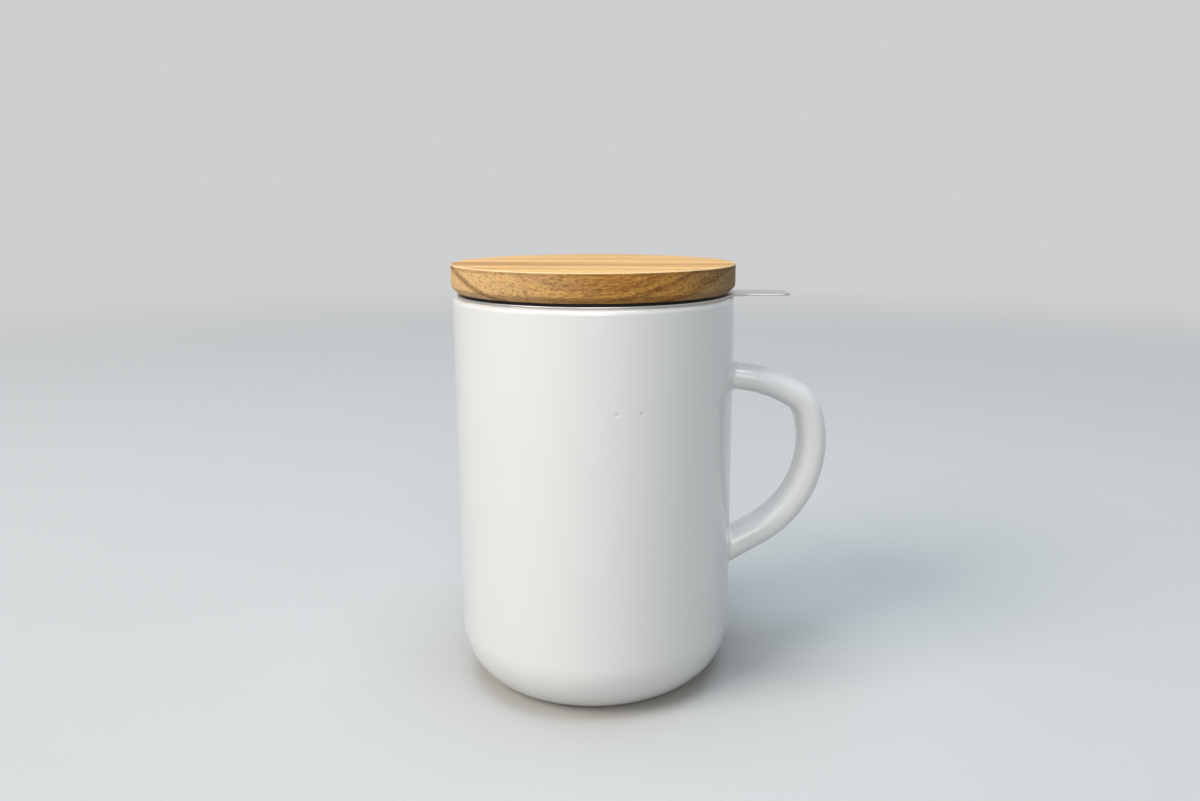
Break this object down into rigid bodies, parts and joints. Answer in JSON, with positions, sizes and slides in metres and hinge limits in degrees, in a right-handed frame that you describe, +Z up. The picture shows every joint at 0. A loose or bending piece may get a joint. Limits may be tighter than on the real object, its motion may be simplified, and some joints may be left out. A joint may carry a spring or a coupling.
{
  "type": "lidded tea mug with infuser",
  "caption": "Straight-sided white stoneware tea mug with a strap handle, a lift-out steel infuser basket with a side tab, and a round lift-off wooden lid with a black seal.",
  "frame": {"origin": "centre of the foot ring's plane, where the mug stands", "axes": "+Z up along the mug's axis, +X towards the handle and the tab, +Y away from the viewer"},
  "size_m": [0.1195, 0.0884, 0.134],
  "materials": {
    "glaze": "satin white glaze",
    "pressed_steel": "fine brushed",
    "perforated_steel": "fine brushed, perforated",
    "acacia": "oiled, fine sanded",
    "silicone": "matt black"
  },
  "bodies": {
    "mug": {"mug_body": "glaze", "mug_handle": "glaze"},
    "infuser": {"infuser_rim": "pressed_steel", "infuser_wall": "perforated_steel", "infuser_floor": "perforated_steel"},
    "lid": {"lid_board": "acacia", "lid_seal": "silicone"}
  },
  "joints": [
    {"name": "infuser_lift", "type": "slide", "parent": "mug", "child": "infuser", "axis": [0, 0, 1], "range_m": [0, 0.11]},
    {"name": "lid_lift", "type": "slide", "parent": "infuser", "child": "lid", "axis": [0, 0, 1], "range_m": [0, 0.05]}
  ]
}
